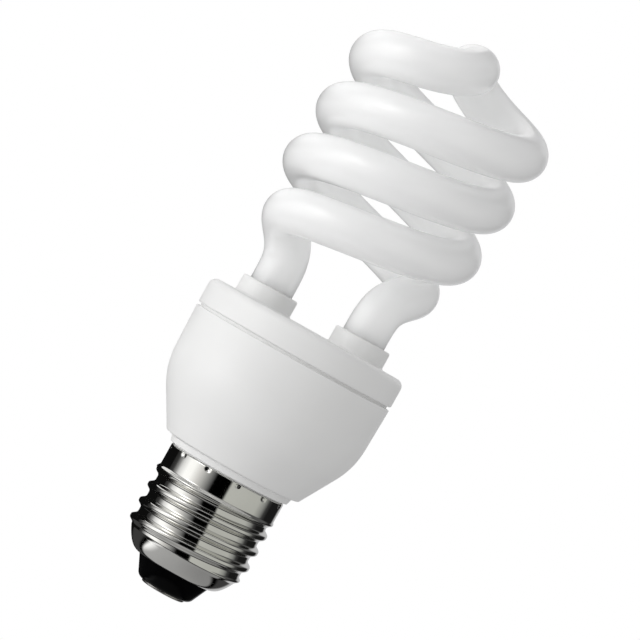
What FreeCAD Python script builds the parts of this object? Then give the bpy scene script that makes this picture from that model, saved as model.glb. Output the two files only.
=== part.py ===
import FreeCAD, Part
import math
import os

from FreeCAD import Vector

# A spiral energy saving bulb with a 27 mm Edison screw cap.
# Sizes are in millimetres. The cap's end contact stands on z = 0, and the lamp rises along +Z.
# The spiral leans a little to +X and nods to -Y, and the two legs of its tube stand on the X axis.

# Screw cap
contact_d = 9.6
contact_h = 0.45
contact_edge = 0.25
insulator_foot_d = 11.7
insulator_edge = 0.8
insulator_bare_h = 4.45
insulator_top_h = 2.9
insulator_bore_d = 2.4
shell_wall = 0.35
shell_mouth_d = 16.0
shoulder_h = 4.2
shoulder_power = 2.2
thread_root_d = 24.4
thread_crest_d = 26.45
thread_pitch = 3.629
thread_h = 13.3
thread_fade = 1.5
crest_sharpness = 1.2
band_d = 25.8
band_h = 5.2
band_blend = 1.0
dimple_count = 12
dimple_first = 12.8
dimple_d = 1.4
dimple_depth = 0.35
dimple_drop = 0.95

# Lower housing
lip_step = 0.55
lip_h = 1.3
lip_draft = 0.35
foot_step = 1.5
foot_h = 0.35
housing_d = 44.5
housing_h = 25.4
slope_h = 11.35
housing_draft = 1.7
housing_bend = 17.0
housing_wall = 1.6
rim_wall = 1.55
ledge_w = 1.7
spigot_wall = 1.5
spigot_gap = 0.5
seam_h = 0.6
seam_depth = 0.75
snap_depth = 0.3
snap_drop = 3.2

# Top cover
cover_h = 5.8
cover_plate = 1.6
cover_round = 1.6
cover_edge = 0.4
skirt_wall = 1.1
collar_d = 12.4
collar_h = 3.7
collar_edge = 0.5
sleeve_h = 2.0

# Glass tube
tube_d = 9.5
coil_d = 46.3
coil_pitch = 24.55
coil_turns = 1.5
coil_lean = 4.0
coil_nod = 3.0
coil_rise = 3.6
lean_rise = 12.7
leg_spacing = 21.4
leg_rise = 8.15
leg_depth = 6.2
bend_from = 8.6
bend_into = 13.5
bend_angle = 55.0
bridge_angle = 24.0
bridge_arch = 3.9
pinch_w = 7.4
pinch_t = 2.6
pinch_h = 2.4
neck_h = 1.0

# Leg cement
cement_wall = 1.5
cement_h = 2.0

# Circuit board and its wiring
board_t = 1.6
board_depth = 8.3
lead_d = 0.6
lead_reach = 1.0
pin_w = 0.7
pin_up = 3.6
pin_down = 1.2
wrap_turns = 3
feed_wire_d = 0.8
wire_bend = 1.2
solder_rim = 0.55
solder_h = 0.7
layout_r = 19.0

# Components under the board: width, depth and height, or diameter and length
bulk_d = 10.0
bulk_h = 14.0
core_w = 13.0
core_t = 6.0
core_h = 12.0
core_post = 3.0
core_side = 2.0
core_back = 1.5
bobbin_wall = 0.6
ring_d = 9.4
ring_bore = 5.2
ring_h = 3.4
transistor_w = 7.8
transistor_t = 2.8
transistor_h = 11.0
transistor_rise = 2.0
start_w = 10.0
start_t = 4.5
start_h = 8.5
blocking_w = 7.2
blocking_t = 3.5
blocking_h = 7.0
diode_d = 2.7
diode_l = 5.2
resistor_d = 2.3
resistor_l = 6.0
resistor_waist = 0.15
trigger_d = 1.8
trigger_l = 3.8
fuse_d = 3.5
fuse_l = 8.0
drum_d = 6.4
drum_h = 8.5
ring_wire = 0.5
lead_out = 1.6

# Fits
slide_fit = 0.15
press_fit = 0.05
stand_off = 0.1
drill_fit = 0.12

# Smoothness of the two skinned surfaces
coil_step = 8.0
tube_sides = 12
shell_sides = 28
rows_per_pitch = 10
patch_rows = 10

# Heights worked out from the sizes above
insulator_z = contact_h
shell_z = insulator_z + insulator_bare_h
thread_z = shell_z + shoulder_h
band_z = thread_z + thread_h
lip_z = band_z + band_h
foot_z = lip_z + lip_h
rim_z = foot_z + housing_h
cover_z = rim_z + seam_h
top_z = cover_z + cover_h
board_top = rim_z - board_depth + board_t
board_z = board_top - board_t
leg_end = top_z - leg_depth
sleeve_z = top_z - cover_plate - sleeve_h

# Radii worked out from the sizes above
band_r = band_d / 2
spigot_r = band_r - shell_wall - slide_fit
spigot_bore = spigot_r - spigot_wall
housing_r = housing_d / 2
cavity_r = housing_r - rim_wall
ledge_r = cavity_r - ledge_w
skirt_r = cavity_r - slide_fit
tube_r = tube_d / 2
coil_r = coil_d / 2 - tube_r
leg_x = leg_spacing / 2
ballast_scale = ledge_r / layout_r

origin = Vector(0, 0, 0)
up = Vector(0, 0, 1)
nodes = {}
drilled = []


# Shapes that several pieces share

def rounded_face(corners):
    """A face in the XZ plane from (x, z) or (x, z, radius) corners, in order."""
    points = [Vector(corner[0], 0, corner[1]) for corner in corners]
    radii = [corner[2] if len(corner) > 2 else 0 for corner in corners]
    starts = []
    ends = []
    middles = []
    for index, point in enumerate(points):
        back = (points[index - 1] - point).normalize()
        ahead = (points[(index + 1) % len(points)] - point).normalize()
        half = back.getAngle(ahead) / 2
        radius = radii[index]
        cut = radius / math.tan(half)
        starts.append(point + back * cut)
        ends.append(point + ahead * cut)
        inward = back + ahead
        if radius > 0:
            inward.normalize()
        middles.append(point + inward * (radius / math.sin(half) - radius))
    edges = []
    for index in range(len(points)):
        if radii[index] > 0:
            edges.append(Part.Arc(starts[index], middles[index], ends[index]).toShape())
        following = starts[(index + 1) % len(points)]
        if ends[index].distanceToPoint(following) > 1e-6:
            edges.append(Part.makeLine(ends[index], following))
    return Part.Face(Part.Wire(edges))


def turned(corners, angle=360):
    """A solid turned about the Z axis from a profile of (radius, height) corners."""
    return rounded_face(corners).revolve(origin, up, angle)


def box(width, depth, height, edge=0.0):
    """A box that stands on z = 0 round the Z axis, with its upright edges rounded."""
    solid = Part.makeBox(width, depth, height, Vector(-width / 2, -depth / 2, 0))
    if edge > 0:
        upright = [e for e in solid.Edges if abs(e.BoundBox.ZLength - height) < 1e-6]
        solid = solid.makeFillet(edge, upright)
    return solid


def rod(points, diameter, bend):
    """A round wire along straight lines, with every corner bent to one radius."""
    edges = []
    start = points[0]
    for index in range(1, len(points) - 1):
        corner = points[index]
        back = (points[index - 1] - corner).normalize()
        ahead = (points[index + 1] - corner).normalize()
        half = back.getAngle(ahead) / 2
        cut = bend / math.tan(half)
        inward = (back + ahead).normalize()
        middle = corner + inward * (bend / math.sin(half) - bend)
        edges.append(Part.makeLine(start, corner + back * cut))
        edges.append(Part.Arc(corner + back * cut, middle, corner + ahead * cut).toShape())
        start = corner + ahead * cut
    edges.append(Part.makeLine(start, points[-1]))
    heading = points[1] - points[0]
    section = Part.Wire([Part.makeCircle(diameter / 2, points[0], heading)])
    return Part.Wire(edges).makePipeShell([section], True, False)


def skin(rings):
    """A smooth tube steered by rings of points, as faces that meet edge to edge."""
    sides = len(rings[0])
    rows = len(rings)
    poles = [[ring[side] for ring in rings] for side in range(sides)]
    surface = Part.BSplineSurface()
    surface.buildFromPolesMultsKnots(
        poles,
        [1] * (sides + 1),
        [4] + [1] * (rows - 4) + [4],
        list(range(sides + 1)),
        list(range(rows - 2)),
        True, False, 3, 3)
    faces = []
    for start in range(0, rows - 3, patch_rows):
        finish = min(start + patch_rows, rows - 3)
        for around in (0, sides // 2):
            patch = surface.copy()
            patch.segment(around, around + sides // 2, start, finish)
            faces.append(patch.toShape())
    return faces


def sewn(faces):
    """One shell from faces that meet along their edges."""
    shell = Part.makeShell(faces)
    shell.sewShape()
    return shell


def open_rims(faces):
    """The closed wires round the open ends of joined faces, lower one first."""
    loose = sewn(faces).getFreeEdges().Edges
    rims = [Part.Wire(group) for group in Part.sortEdges(loose)]
    return sorted(rims, key=lambda rim: rim.BoundBox.ZMin)


def solid_from(faces):
    """One solid from faces that close a space."""
    solid = Part.makeSolid(sewn(faces))
    if solid.Volume < 0:
        solid.reverse()
    return solid


def pole_gain(sides):
    """How far the steering points stand outside the circle that they make."""
    return 3 / (2 + math.cos(2 * math.pi / sides))


def ease(value):
    """A smooth step from 0 to 1."""
    value = min(max(value, 0.0), 1.0)
    return value * value * (3 - 2 * value)


# Screw cap

def shoulder_height(radius):
    """Height of the shell's rounded shoulder at a radius."""
    reach = (radius - shell_mouth_d / 2) / (thread_root_d / 2 - shell_mouth_d / 2)
    return shell_z + shoulder_h * reach ** shoulder_power


def shell_profile():
    """The rolled sheet's outer profile without its thread, as (radius, height) from the mouth up."""
    mouth_r = shell_mouth_d / 2
    root_r = thread_root_d / 2
    rows = []
    shoulder_rows = 10
    for index in range(shoulder_rows):
        radius = mouth_r + (root_r - mouth_r) * index / shoulder_rows
        rows.append((radius, shoulder_height(radius)))
    step = thread_pitch / rows_per_pitch
    count = round((lip_z - thread_z) / step)
    for index in range(count + 1):
        height = thread_z + (lip_z - thread_z) * index / count
        blend = ease((height - band_z + band_blend) / band_blend)
        rows.append((root_r + (band_r - root_r) * blend, height))
    return rows


def offset_profile(rows, inward):
    """The same profile moved square to itself, towards the axis."""
    moved = []
    for index, (radius, height) in enumerate(rows):
        before = rows[max(index - 1, 0)]
        after = rows[min(index + 1, len(rows) - 1)]
        along_r = after[0] - before[0]
        along_z = after[1] - before[1]
        length = math.hypot(along_r, along_z)
        if index == 0:
            along_r, along_z, length = 1.0, 0.0, 1.0
        if index == len(rows) - 1:
            along_r, along_z, length = 0.0, 1.0, 1.0
        moved.append((radius - inward * along_z / length, height + inward * along_r / length))
    return moved


def thread_lift(height, angle):
    """How far the rolled thread stands out at a height and an angle: a right-hand helix."""
    crest_z = thread_z + 0.9 * thread_pitch
    phase = (height - crest_z) / thread_pitch - angle / (2 * math.pi)
    wave = ((1 + math.cos(2 * math.pi * phase)) / 2) ** crest_sharpness
    start = ease((height - thread_z + thread_fade / 2) / thread_fade)
    finish = ease((band_z + thread_fade / 2 - height) / thread_fade)
    depth = (thread_crest_d - thread_root_d) / 2 * pole_gain(rows_per_pitch)
    return depth * wave * start * finish


def shell_face(inward):
    """The shell's outer face, or its inner face one wall further in."""
    gain = pole_gain(shell_sides)
    outer = shell_profile()
    rings = []
    for (radius, height), (_, outer_z) in zip(offset_profile(outer, inward), outer):
        ring = []
        for side in range(shell_sides):
            angle = 2 * math.pi * side / shell_sides
            reach = (radius + thread_lift(outer_z, angle)) * gain
            ring.append(Vector(reach * math.cos(angle), reach * math.sin(angle), height))
        rings.append(ring)
    return skin(rings)


def dimple_balls(extra):
    """The round punch that stakes the shell to the housing, at each of its places."""
    radius = (dimple_d ** 2 / 4 + dimple_depth ** 2) / (2 * dimple_depth)
    reach = band_r - dimple_depth + radius
    balls = []
    for index in range(dimple_count):
        angle = math.radians(dimple_first + 360 / dimple_count * index - 90)
        centre = Vector(reach * math.cos(angle), reach * math.sin(angle), lip_z - dimple_drop)
        balls.append(Part.makeSphere(radius + extra, centre))
    return Part.makeCompound(balls)


def make_cap_shell():
    """Thin rolled sheet with the thread in both of its faces, open at both ends."""
    outer = shell_face(0)
    inner = shell_face(shell_wall)
    rims = zip(open_rims(outer), open_rims(inner))
    ends = [Part.makeRuledSurface(first, second) for first, second in rims]
    faces = outer + inner
    for end in ends:
        faces += end.Faces
    shell = solid_from(faces)
    wall_middle = Part.makeCylinder(band_r - shell_wall / 2, lip_z)
    pressed = shell.fuse(dimple_balls(shell_wall).common(wall_middle))
    return pressed.cut(dimple_balls(0))


def make_insulator():
    """Glass plug that closes the shell's mouth and carries the end contact."""
    bore_r = insulator_bore_d / 2
    mouth_r = shell_mouth_d / 2
    seat = offset_profile(shell_profile(), shell_wall + press_fit)
    top = shell_z + insulator_top_h
    corners = [(bore_r, insulator_z)]
    corners.append((insulator_foot_d / 2, insulator_z, insulator_edge))
    corners.append((mouth_r - press_fit, shell_z))
    corners.append((mouth_r - press_fit, shell_z + shell_wall + press_fit))
    for radius, height in seat:
        if mouth_r < radius and height < top:
            corners.append((radius, height))
    corners.append((corners[-1][0], top))
    corners.append((bore_r, top))
    return turned(corners)


def make_contact():
    """Round end contact with a softened lower edge."""
    radius = contact_d / 2
    return turned([(0, 0), (radius, 0, contact_edge), (radius, contact_h), (0, contact_h)])


# Plastic housing

def snap_groove(radius, growth):
    """Corners of the ring where the cover snaps in, from its top down."""
    middle = cover_z - snap_drop
    deep = radius + snap_depth
    return [
        (radius, middle + 2 * snap_depth + growth),
        (deep, middle + snap_depth + growth),
        (deep, middle - snap_depth - growth),
        (radius, middle - 3 * snap_depth - growth)]


def make_lower_housing():
    """Moulded cup that carries the circuit board, with a spigot inside the cap."""
    draft = math.tan(math.radians(housing_draft))
    lip_r = band_r + lip_step
    foot_r = lip_r + lip_draft + foot_step
    foot_top = foot_z + foot_h
    corner_z = foot_top + slope_h
    corner_r = housing_r - draft * (rim_z - corner_z)
    slope = (corner_r - foot_r) / slope_h
    side = housing_wall * math.hypot(1, slope)
    ledge_foot = foot_top + (ledge_r + side - foot_r) / slope
    floor_z = foot_top + housing_wall / 2
    floor_r = foot_r - side + slope * (floor_z - foot_top)
    spigot_z = band_z + spigot_gap
    corners = [
        (spigot_bore, spigot_z),
        (spigot_r, spigot_z, 0.3),
        (spigot_r, lip_z),
        (lip_r, lip_z, 0.2),
        (lip_r + lip_draft, foot_z, 0.2),
        (foot_r, foot_top, 0.4),
        (corner_r, corner_z, housing_bend),
        (housing_r, rim_z, 0.2),
        (housing_r - seam_depth, rim_z),
        (housing_r - seam_depth, cover_z),
        (cavity_r, cover_z)]
    corners += snap_groove(cavity_r, press_fit)
    corners += [
        (cavity_r, board_z),
        (ledge_r, board_z),
        (ledge_r, ledge_foot, 2.0),
        (floor_r, floor_z, 0.6),
        (spigot_bore, lip_z + housing_wall / 2, 0.6)]
    cup = turned(corners)
    below_lip = Part.makeCylinder(band_r - shell_wall / 2, lip_z)
    pockets = dimple_balls(shell_wall + press_fit).common(below_lip)
    slot_w = feed_wire_d + 2 * slide_fit
    slot_h = feed_slot_z() + feed_wire_d - spigot_z
    slot = Part.makeBox(slot_w, spigot_wall * 2, slot_h, Vector(-slot_w / 2, spigot_bore - 0.2, spigot_z))
    return cup.cut(pockets).cut(slot)


def feed_slot_z():
    """Height at which the cap's side wire passes through the spigot to the shell."""
    return band_z + spigot_gap + 1.6


def make_top_cover():
    """Moulded lid with a skirt that snaps into the cup and two collars for the tube's legs."""
    plate_z = top_z - cover_plate
    inner_r = skirt_r - skirt_wall
    bead = snap_groove(skirt_r, -press_fit)
    bead.reverse()
    corners = [(0, plate_z), (inner_r, plate_z, 0.8), (inner_r, board_top), (skirt_r, board_top, 0.3)]
    corners += bead
    corners += [
        (skirt_r, cover_z),
        (housing_r, cover_z, cover_edge),
        (housing_r, top_z, cover_round),
        (0, top_z)]
    cover = turned(corners)
    bore_r = tube_r + slide_fit
    for side in (-1, 1):
        collar = turned([
            (0, sleeve_z),
            (collar_d / 2, sleeve_z),
            (collar_d / 2, top_z + collar_h, collar_edge),
            (0, top_z + collar_h)])
        collar.translate(Vector(side * leg_x, 0, 0))
        cover = cover.fuse(collar)
    for side in (-1, 1):
        bore = Part.makeCylinder(bore_r, 40, Vector(side * leg_x, 0, sleeve_z - 10))
        cover = cover.cut(bore)
    return cover.removeSplitter()


# Glass tube

def leaned(x, y, rise):
    """A point of the upright coil, turned with the spiral's nod to -Y and its lean to +X."""
    nod = math.radians(coil_nod)
    lean = math.radians(coil_lean)
    ahead = y * math.cos(nod) - rise * math.sin(nod)
    high = rise * math.cos(nod) + y * math.sin(nod)
    base = top_z + lean_rise
    return Vector(
        x * math.cos(lean) + high * math.sin(lean),
        ahead,
        base + high * math.cos(lean) - x * math.sin(lean))


def coil_point(angle):
    """One arm of the upright coil: a right-hand helix, then half of the bridge over the axis."""
    last = math.radians(360 * coil_turns + bridge_angle)
    lead = coil_pitch / (2 * math.pi)
    closing = max(angle - last, 0.0)
    radius = coil_r * math.cos(closing)
    rise = coil_rise + lead * min(angle, last)
    rise += lead * math.sin(closing) + bridge_arch * math.sin(closing) ** 4
    turn = angle - math.pi
    return radius * math.cos(turn), radius * math.sin(turn), rise


def arm_path(side):
    """From a leg's end up to the top of the bridge, for one of the two arms."""
    first = math.radians(bend_angle)
    last = math.radians(360 * coil_turns + bridge_angle + 90)
    steps = round(math.degrees(last - first) / coil_step)
    coil = []
    for index in range(steps + 1):
        x, y, rise = coil_point(first + (last - first) * index / steps)
        coil.append(leaned(side * x, side * y, rise))
    foot = Vector(-side * leg_x, 0, leg_end)
    knee = Vector(-side * leg_x, 0, top_z + leg_rise)
    heading = (coil[1] - coil[0]).normalize()
    pull_up = knee + up * bend_from
    pull_in = coil[0] - heading * bend_into
    leg = [foot + (knee - foot) * part / 5 for part in range(5)]
    bend = []
    for part in range(8):
        t = part / 8
        s = 1 - t
        bend.append(knee * s ** 3 + pull_up * (3 * s * s * t) + pull_in * (3 * s * t * t) + coil[0] * t ** 3)
    return leg + bend + coil


def rings_round(path, radius):
    """Rings of steering points square to a path, carried along it without twist."""
    reach = radius * pole_gain(tube_sides)
    side_way = Vector(1, 0, 0)
    rings = []
    for index, point in enumerate(path):
        before = path[max(index - 1, 0)]
        after = path[min(index + 1, len(path) - 1)]
        heading = (after - before).normalize()
        side_way = (side_way - heading * side_way.dot(heading)).normalize()
        other_way = heading.cross(side_way)
        ring = []
        for side in range(tube_sides):
            angle = 2 * math.pi * side / tube_sides
            ring.append(point + (side_way * math.cos(angle) + other_way * math.sin(angle)) * reach)
        rings.append(ring)
    return rings


def make_spiral_tube():
    """Sealed glass tube wound as a double spiral from one leg over the top to the other."""
    rising = arm_path(1)
    falling = arm_path(-1)
    path = rising + falling[-2::-1]
    wall = skin(rings_round(path, tube_r))
    ends = [Part.Face(rim) for rim in open_rims(wall)]
    tube = solid_from(wall + ends)
    for side in (-1, 1):
        neck = Part.makeCone(pinch_t, tube_r - 0.2, neck_h + 0.3, Vector(side * leg_x, 0, leg_end - neck_h))
        pinch = box(pinch_t, pinch_w, pinch_h + neck_h, pinch_t / 3)
        pinch.translate(Vector(side * leg_x, 0, leg_end - neck_h - pinch_h))
        tube = tube.fuse(neck).fuse(pinch)
    return tube


def make_cement(side):
    """Bead of cement that holds a leg under its collar."""
    inner = tube_r
    outer = tube_r + cement_wall
    low = sleeve_z - cement_h
    bead = turned([(inner, low), (outer, low, 0.9), (outer, sleeve_z), (inner, sleeve_z)])
    bead.translate(Vector(side * leg_x, 0, 0))
    return bead


# Board components, each standing on z = 0 with its leads down

def lead_pins(places, height):
    """Straight leads from below the board up to a height in the body."""
    length = board_t + lead_reach + height
    return [Part.makeCylinder(lead_d / 2, length, Vector(x, y, -board_t - lead_reach)) for x, y in places]


def with_leads(body, places, height):
    """A body with straight leads in its foot."""
    for lead in lead_pins(places, height):
        body = body.fuse(lead)
    return body


def bulk_capacitor():
    """Electrolytic can with a rolled neck and a rounded top rim."""
    radius = bulk_d / 2
    neck_z = stand_off + 1.8
    can = turned([
        (0, stand_off),
        (radius, stand_off, 0.4),
        (radius, neck_z - 0.5),
        (radius - 0.4, neck_z),
        (radius, neck_z + 0.5),
        (radius, stand_off + bulk_h, 0.6),
        (radius - 1.2, stand_off + bulk_h),
        (radius - 1.4, stand_off + bulk_h - 0.2),
        (0, stand_off + bulk_h - 0.2)])
    places = [(-bulk_d / 4, 0), (bulk_d / 4, 0)]
    return with_leads(can, places, bulk_h / 8), places


def film_capacitor(width, depth, height):
    """Moulded film capacitor with soft edges."""
    spread = width * 0.72
    body = box(width, depth, height, 0.6)
    top = [edge for edge in body.Edges if edge.BoundBox.ZMin > height - 1e-6]
    body = body.makeFillet(0.4, top)
    body.translate(Vector(0, 0, stand_off))
    places = [(-spread / 2, 0), (spread / 2, 0)]
    return with_leads(body, places, height / 4), places


def transistor():
    """Flat power transistor on three legs, with its screw hole."""
    body = box(transistor_w, transistor_t, transistor_h, 0.2)
    hole_z = transistor_h * 0.66
    hole_r = transistor_w / 5
    hole = Part.makeCylinder(hole_r, transistor_t, Vector(0, -transistor_t / 2, hole_z), Vector(0, 1, 0))
    body = body.cut(hole)
    body.translate(Vector(0, 0, transistor_rise))
    pitch = transistor_w * 0.295
    places = [(-pitch, 0), (0, 0), (pitch, 0)]
    return with_leads(body, places, transistor_rise + transistor_h / 6), places


def axial_part(diameter, length, waist=0.0):
    """Lying part with a lead out of each end, bent down through the board."""
    spread = length + 2 * lead_out
    axis_z = diameter / 2 + stand_off
    corners = [(0, 0), (diameter / 2, 0, diameter / 6)]
    if waist > 0:
        corners += [
            (diameter / 2, length * 0.28),
            (diameter / 2 - waist, length * 0.36),
            (diameter / 2 - waist, length * 0.64),
            (diameter / 2, length * 0.72)]
    corners += [(diameter / 2, length, diameter / 6), (0, length)]
    body = turned(corners)
    body.rotate(origin, Vector(0, 1, 0), 90)
    body.translate(Vector(-length / 2, 0, axis_z))
    low = -board_t - lead_reach
    path = [
        Vector(-spread / 2, 0, low),
        Vector(-spread / 2, 0, axis_z),
        Vector(spread / 2, 0, axis_z),
        Vector(spread / 2, 0, low)]
    wire = rod(path, lead_d, 0.8)
    return body.fuse(wire), [(-spread / 2, 0), (spread / 2, 0)]


# Placing a component under the board

def board_place(x, y, turn):
    """Hangs a part that stands on z = 0 from the board, at a share of the ledge's radius."""
    flip = FreeCAD.Placement(origin, FreeCAD.Rotation(Vector(1, 0, 0), 180))
    spin = FreeCAD.Placement(Vector(x * ledge_r, y * ledge_r, board_z), FreeCAD.Rotation(up, turn))
    return spin.multiply(flip)


def hang(name, shape, places, x, y, turn=0):
    """Keeps a hanging part as a node and notes where its leads go through the board."""
    place = board_place(x, y, turn)
    hung = shape.copy()
    hung.scale(ballast_scale)
    hung.Placement = place.multiply(hung.Placement)
    nodes[name] = hung
    for lead_x, lead_y in places:
        spot = place.multVec(Vector(lead_x, lead_y, 0) * ballast_scale)
        drilled.append((spot.x, spot.y, lead_d / 2 * ballast_scale))


def ring_place(radius, angle):
    """A place on a circle round the board's middle, as shares, with the turn along the circle."""
    turn = math.radians(angle)
    return radius * math.cos(turn), radius * math.sin(turn), angle + 90


def hang_choke(x, y, turn):
    """Ballast choke: two ferrite E halves through a wound bobbin that stands on four pins."""
    low = 0.3
    window = (core_w - core_post) / 2 - core_side
    half = core_h / 2
    core_halves = []
    for base, flip in ((low, False), (low + half, True)):
        half_core = box(core_w, core_t, half)
        for side in (-1, 1):
            slot = box(window, core_t, half - core_back)
            slot_z = 0 if flip else core_back
            slot.translate(Vector(side * (core_post + window) / 2, 0, slot_z))
            half_core = half_core.cut(slot)
        half_core.translate(Vector(0, 0, base))
        core_halves.append(half_core)
    core = Part.makeCompound(core_halves)

    spool_z = low + core_back + press_fit
    spool_h = core_h - 2 * core_back - 2 * press_fit
    bore_w = core_post + 2 * slide_fit
    bore_t = core_t + 2 * slide_fit
    tube_w = bore_w + 2 * bobbin_wall
    tube_t = bore_t + 2 * bobbin_wall
    flange_w = core_post + 2 * window - 2 * slide_fit
    flange_t = tube_t + 5.0
    flange_h = 0.8
    bobbin = box(tube_w, tube_t, spool_h)
    for rise in (0, spool_h - flange_h):
        flange = box(flange_w, flange_t, flange_h, 0.6)
        flange.translate(Vector(0, 0, rise))
        bobbin = bobbin.fuse(flange)
    bobbin = bobbin.cut(box(bore_w, bore_t, spool_h))
    bobbin.translate(Vector(0, 0, spool_z))
    rail_t = (flange_t - core_t) / 2 - slide_fit
    pin_y = flange_t / 2 - rail_t / 2
    pin_x = flange_w / 2 - 1.2
    for side in (-1, 1):
        rail = box(flange_w, rail_t, spool_z + flange_h - stand_off)
        rail.translate(Vector(0, side * pin_y, stand_off))
        bobbin = bobbin.fuse(rail)
    places = [(pin_x, pin_y), (-pin_x, pin_y), (pin_x, -pin_y), (-pin_x, -pin_y)]
    pins = lead_pins(places, stand_off + 1.5)
    for pin in pins:
        bobbin = bobbin.cut(pin)

    wound_w = flange_w - 0.4
    wound_t = flange_t - 0.8
    wound_h = spool_h - 2 * flange_h - 2 * press_fit
    winding = box(wound_w, wound_t, wound_h, 1.2)
    winding = winding.cut(box(tube_w + 2 * press_fit, tube_t + 2 * press_fit, wound_h))
    winding.translate(Vector(0, 0, spool_z + flange_h + press_fit))

    hang("choke_core", core, [], x, y, turn)
    hang("choke_bobbin", bobbin.removeSplitter(), [], x, y, turn)
    hang("choke_winding", winding, [], x, y, turn)
    hang("choke_pins", Part.makeCompound(pins), places, x, y, turn)


def hang_ring_transformer(x, y):
    """Drive transformer: a lying ferrite ring with three wound lengths round it."""
    wire = ring_wire
    gap = press_fit
    low = stand_off + wire + gap
    outer = ring_d / 2
    inner = ring_bore / 2
    core = turned([
        (inner, low, 0.3),
        (outer, low, 0.3),
        (outer, low + ring_h, 0.3),
        (inner, low + ring_h, 0.3)])
    sector = 62
    windings = []
    places = []
    for start in (0, 120, 240):
        cover = turned([
            (inner - gap - wire, low - gap - wire),
            (outer + gap + wire, low - gap - wire),
            (outer + gap + wire, low + ring_h + gap + wire),
            (inner - gap - wire, low + ring_h + gap + wire)], sector)
        hollow = turned([
            (inner - gap, low - gap),
            (outer + gap, low - gap),
            (outer + gap, low + ring_h + gap),
            (inner - gap, low + ring_h + gap)], sector)
        sleeve = cover.cut(hollow)
        tails = []
        for turn in (sector * 0.1, sector * 0.9):
            angle = math.radians(turn)
            reach = outer + gap + wire / 2
            tails.append((reach * math.cos(angle), reach * math.sin(angle)))
        for tail in tails:
            length = board_t + lead_reach + low + 1
            sleeve = sleeve.fuse(Part.makeCylinder(wire / 2 - 0.02, length, Vector(*tail, -board_t - lead_reach)))
        sleeve.rotate(origin, up, start)
        windings.append(sleeve)
        for tail_x, tail_y in tails:
            spot = FreeCAD.Rotation(up, start).multVec(Vector(tail_x, tail_y, 0))
            places.append((spot.x, spot.y))
    hang("ring_core", core, [], x, y)
    hang("ring_windings", Part.makeCompound(windings), places, x, y)


def hang_filter_choke(x, y):
    """Small drum choke on the mains side."""
    flange = drum_d / 2
    waist = flange * 0.45
    flange_h = 1.2
    core = turned([
        (0, stand_off),
        (flange, stand_off, 0.2),
        (flange, stand_off + flange_h),
        (waist, stand_off + flange_h),
        (waist, stand_off + drum_h - flange_h),
        (flange, stand_off + drum_h - flange_h),
        (flange, stand_off + drum_h, 0.2),
        (0, stand_off + drum_h)])
    winding = turned([
        (waist + press_fit, stand_off + flange_h + press_fit),
        (flange - 0.3, stand_off + flange_h + press_fit, 0.5),
        (flange - 0.3, stand_off + drum_h - flange_h - press_fit, 0.5),
        (waist + press_fit, stand_off + drum_h - flange_h - press_fit)])
    reach = (waist + flange) / 2
    places = [(-reach, 0), (reach, 0)]
    for place_x, place_y in places:
        path = Part.makeCylinder(lead_d / 2 + press_fit, flange_h + 1, Vector(place_x, place_y, 0))
        core = core.cut(path)
    winding = with_leads(winding, places, stand_off + flange_h + 1)
    hang("filter_choke_core", core, [], x, y)
    hang("filter_choke_winding", winding, places, x, y)


# Wires from the board to the cap and to the tube

def make_fuse_resistor(hole_x, hole_y):
    """Fusible resistor hanging in the cap, between the board and the end contact."""
    low = shell_z + insulator_top_h + 3.5
    body = turned([
        (0, low),
        (fuse_d / 2, low, 0.6),
        (fuse_d / 2, low + fuse_l, 0.6),
        (0, low + fuse_l)])
    turn_z = low + fuse_l + 3.0
    path = [
        Vector(0, 0, contact_h),
        Vector(0, 0, turn_z),
        Vector(hole_x, hole_y, turn_z + 3.5),
        Vector(hole_x, hole_y, board_top + lead_reach)]
    drilled.append((hole_x, hole_y, feed_wire_d / 2))
    return body.fuse(rod(path, feed_wire_d, wire_bend))


def make_shell_wire(hole_x, hole_y):
    """Wire from the board down inside the spigot and out through its slot to the shell."""
    run_y = spigot_bore - feed_wire_d
    slot_z = feed_slot_z()
    path = [
        Vector(hole_x, hole_y, board_top + lead_reach),
        Vector(hole_x, hole_y, slot_z + 7.5),
        Vector(0, run_y, slot_z + 3.5),
        Vector(0, run_y, slot_z),
        Vector(0, band_r - shell_wall - press_fit, slot_z)]
    drilled.append((hole_x, hole_y, feed_wire_d / 2))
    return rod(path, feed_wire_d, wire_bend)


def pinch_leads(side):
    """The two leads out of one leg's pinch, each wound round its own post on the board."""
    lead_y = pinch_w / 2 - 1.5
    start_z = leg_end - neck_h - pinch_h
    run_z = start_z - 1.1
    wrap_r = pin_w * 0.72 + lead_d / 2
    post_x = side * 0.75 * ledge_r
    post_y = 0.258 * ledge_r
    leads = []
    posts = []
    for way in (-1, 1):
        post = Vector(post_x, way * post_y, run_z)
        path = [
            Vector(side * leg_x, way * lead_y, start_z),
            Vector(side * leg_x, way * lead_y, run_z),
            post - Vector(0, way * wrap_r, 0)]
        lead = rod(path, lead_d, 0.7)
        for turn in range(wrap_turns):
            rise = 0.9 * lead_d * (turn - (wrap_turns - 1) / 2)
            lead = lead.fuse(Part.makeTorus(wrap_r, lead_d / 2, post + up * rise))
        leads.append(lead)
        pin = box(pin_w, pin_w, pin_up + board_t + pin_down)
        pin.translate(Vector(post.x, post.y, board_z - pin_down))
        posts.append(pin)
        drilled.append((post.x, post.y, pin_w * 0.708))
    return leads, posts


def make_board():
    """Round circuit board, drilled for every lead."""
    board = Part.makeCylinder(cavity_r - slide_fit, board_t, Vector(0, 0, board_z))
    drills = [Part.makeCylinder(r + drill_fit, board_t, Vector(x, y, board_z)) for x, y, r in drilled]
    return board.cut(Part.makeCompound(drills))


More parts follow.
